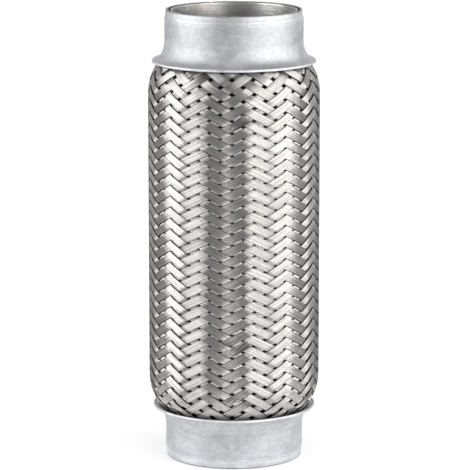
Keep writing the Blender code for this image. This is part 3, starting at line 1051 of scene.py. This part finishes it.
def lying_card(azimuths, distances, level=MAT_LEVEL):
    """A flat card like a slice of a ring, between two azimuths and two distances:
    x = r*sin(a), y = -r*cos(a)."""
    turn = np.radians(np.linspace(*azimuths, 13))
    reach = np.array(distances[::-1])[:, None]
    return round_axis(reach, turn, level).reshape(-1, 3), strip_faces(2, 13)[:, ::-1]


def ceiling_card(half, level):
    """A flat square card overhead, which faces down."""
    corners = [(-half, half), (half, half), (-half, -half), (half, -half)]
    return np.array([(*corner, level) for corner in corners]), strip_faces(2, 2)


def add_card(name, surface, card_shade):
    """A studio card that only shows in the metal's reflections."""
    mesh = make_mesh(name, *surface)
    mesh.materials.append(plain_surface(name.replace("_", " "), (card_shade,) * 3))
    card = bpy.data.objects.new(name, mesh)
    card.visible_camera = False
    card.visible_shadow = False
    card.visible_diffuse = False
    bpy.context.scene.collection.objects.link(card)
    return card


def add_light_box(name, azimuths, distance, levels, radiance):
    """An area light that stands across these azimuths and shines at the pipe. Its power is its
    brightness times pi times its area."""
    turns = np.radians(azimuths)
    middle = turns.mean()
    lamp = bpy.data.lights.new(name, "AREA")
    lamp.shape = "RECTANGLE"
    lamp.size = 2 * distance * math.tan((turns[1] - turns[0]) / 2)
    lamp.size_y = levels[1] - levels[0]
    lamp.energy = radiance * math.pi * lamp.size * lamp.size_y
    box = bpy.data.objects.new(name, lamp)
    up = (levels[0] + levels[1]) / 2
    box.location = (distance * math.sin(middle), -distance * math.cos(middle), up)
    box.rotation_euler = (math.pi / 2, 0.0, middle)
    box.visible_camera = False
    bpy.context.scene.collection.objects.link(box)


class FLEXPIPE_OT_stage(bpy.types.Operator):
    """Sets the pale floor, the white surroundings, two light boxes, the cards and the camera"""

    bl_idname = "flexpipe.stage"
    bl_label = "Floor, light and camera"

    def execute(self, context):
        scene = context.scene
        studio = scene.flexpipe_studio
        mesh = make_mesh("floor", *sweep_floor())
        mesh.materials.append(plain_surface("pale floor", studio.floor_colour))
        floor = bpy.data.objects.new("floor", mesh)
        scene.collection.objects.link(floor)
        cards = [add_card(*card) for card in (
            ("front_card", upright_card((-24, 4), 0.60, (0.0, 1.3)), studio.card_shade),
            ("low_card", upright_card((-45, 20), 0.62, (0.0, 0.34)), studio.card_shade),
            ("front_mat", lying_card((-45, 20), (0.08, 0.62)), studio.front_shade),
            ("pale_strip", lying_card((-13, 6), (0.10, 0.50), STRIP_LEVEL), studio.strip_shade),
            ("left_mat", lying_card((-100, -45), (0.095, 0.36)), studio.mat_shade),
            ("right_mat", lying_card((20, 88), (0.095, 0.36)), studio.mat_shade),
            ("left_rear_mat", lying_card((-170, -100), (0.085, 0.9)), studio.rear_shade),
            ("right_rear_mat", lying_card((88, 170), (0.085, 0.9)), studio.rear_shade),
            ("left_flag", upright_card((-168, -106), 0.9, (0.0, 1.6)), studio.left_flag),
            ("right_flag", upright_card((98, 168), 0.9, (0.0, 1.6)), studio.right_flag),
            ("ceiling", ceiling_card(1.5, 1.6), studio.ceiling_shade),
        )]
        for name, azimuths in (("left_light_box", (-104, -49)), ("right_light_box", (22, 99))):
            add_light_box(name, azimuths, 1.1, (0.04, 1.1), studio.box_radiance)
        world = bpy.data.worlds.new("white surroundings")
        world.use_nodes = True
        background = world.node_tree.nodes["Background"]
        background.inputs["Color"].default_value = (1.0, 1.0, 1.0, 1.0)
        background.inputs["Strength"].default_value = studio.world_strength
        scene.world = world
        lens = bpy.data.cameras.new("camera")
        lens.sensor_width = 36.0
        lens.lens = studio.camera_lens
        camera = bpy.data.objects.new("camera", lens)
        camera.location = studio.camera_place
        camera.rotation_euler = (math.pi / 2 - studio.camera_pitch, 0.0, 0.0)
        scene.collection.objects.link(camera)
        scene.camera = camera
        scene.view_settings.view_transform = "Standard"
        return {"FINISHED"}


OPERATORS = (
    FLEXPIPE_OT_braid, FLEXPIPE_OT_caps, FLEXPIPE_OT_rings, FLEXPIPE_OT_bellows, FLEXPIPE_OT_stage,
)
SETTINGS = {
    "flexpipe_sizes": PipeSizes,
    "flexpipe_weave": WeaveSizes,
    "flexpipe_finish": PipeFinish,
    "flexpipe_studio": StudioSizes,
}


class FLEXPIPE_PT_panel(bpy.types.Panel):
    """The pipe's sizes, metals and stage, and a button for each group of pieces"""

    bl_label = "Exhaust flex pipe"
    bl_idname = "FLEXPIPE_PT_panel"
    bl_space_type = "VIEW_3D"
    bl_region_type = "UI"
    bl_category = "Flex Pipe"

    def draw(self, context):
        for label, group in SETTINGS.items():
            box = self.layout.box()
            for setting in group.__annotations__:
                box.prop(getattr(context.scene, label), setting)
        for operator in OPERATORS:
            self.layout.operator(operator.bl_idname)


def register():
    for group in (*SETTINGS.values(), *OPERATORS, FLEXPIPE_PT_panel):
        bpy.utils.register_class(group)
    for label, group in SETTINGS.items():
        setattr(bpy.types.Scene, label, bpy.props.PointerProperty(type=group))


def unregister():
    for label in SETTINGS:
        delattr(bpy.types.Scene, label)
    for group in (FLEXPIPE_PT_panel, *OPERATORS[::-1], *SETTINGS.values()):
        bpy.utils.unregister_class(group)


def main():
    """Registers the settings and operators, then builds every piece and the stage."""
    register()
    bpy.ops.flexpipe.braid()
    bpy.ops.flexpipe.caps()
    bpy.ops.flexpipe.rings()
    bpy.ops.flexpipe.bellows()
    bpy.ops.flexpipe.stage()


if __name__ == "__main__":
    main()
